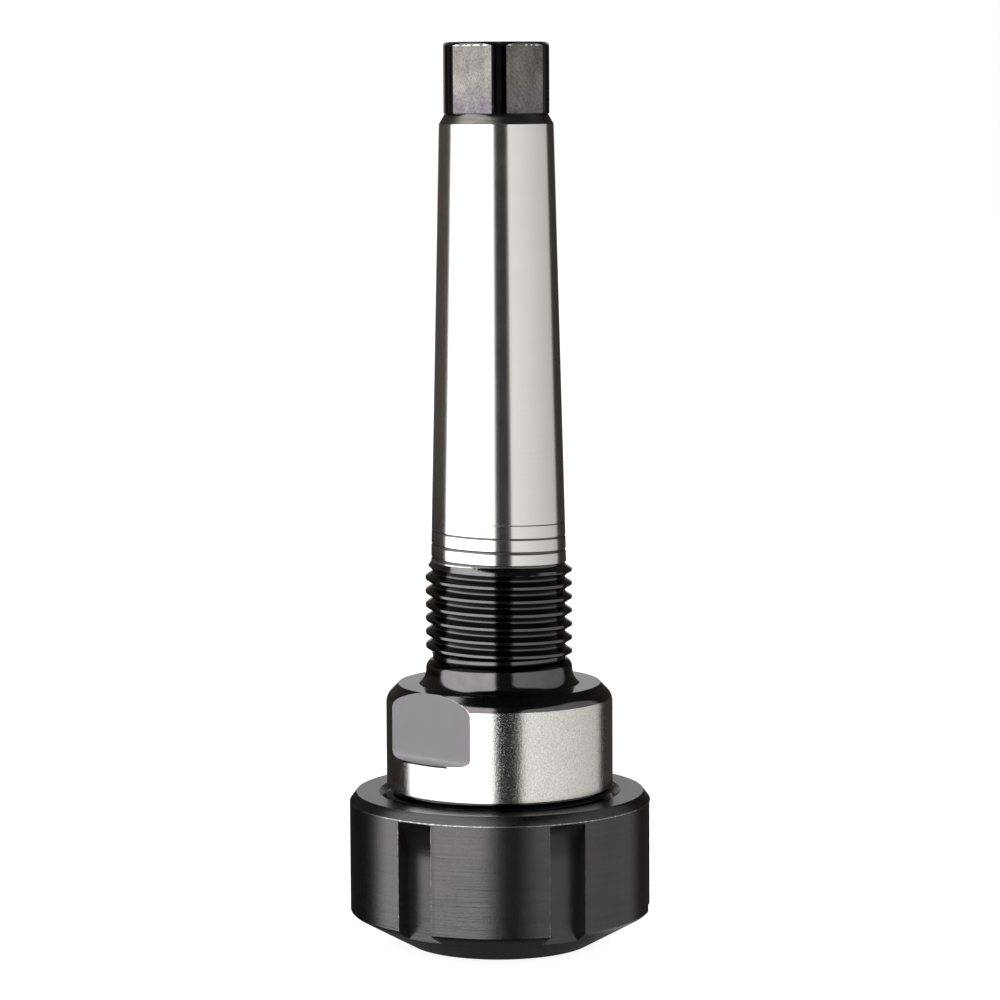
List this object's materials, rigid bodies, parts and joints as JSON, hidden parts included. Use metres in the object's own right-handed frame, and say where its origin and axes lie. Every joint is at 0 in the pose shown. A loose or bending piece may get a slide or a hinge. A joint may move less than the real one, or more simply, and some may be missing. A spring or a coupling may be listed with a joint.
{
  "type": "collet chuck",
  "caption": "Spring-collet chuck with a taper shank: drive hexagon, 1:20 taper, left-hand shank thread, ground body ring with wrench flats, slit collet and slotted clamping nut.",
  "frame": {"origin": "on the chuck's axis, in the plane of the clamping nut's front face, on which the chuck stands", "axes": "+Z along the axis from the nut's face to the drive hexagon; -Y and +Y are the normals of the two wrench flats; +X completes the right-handed frame"},
  "size_m": [0.042, 0.042, 0.125],
  "materials": {
    "ground_steel": "ground bright on the taper and ring, black oxide elsewhere",
    "black_oxide_steel": "satin black oxide",
    "spring_steel": "ground and satin"
  },
  "bodies": {
    "nut": {"clamping_nut": "black_oxide_steel"},
    "collet": {"collet": "spring_steel"},
    "chuck": {"chuck_body": "ground_steel"}
  },
  "joints": [
    {"name": "nut_turn", "type": "hinge", "parent": "nut", "child": "collet", "pos_m": [0, 0, 0], "axis": [0, 0, 1], "range_deg": [0, 2880]},
    {"name": "chuck_unscrew", "type": "slide", "parent": "collet", "child": "chuck", "axis": [0, 0, 1], "range_m": [0, 0.012]}
  ],
  "couplings": [
    {"joint": "nut_turn", "follows": "chuck_unscrew", "rad_per_m": 4188.8}
  ]
}
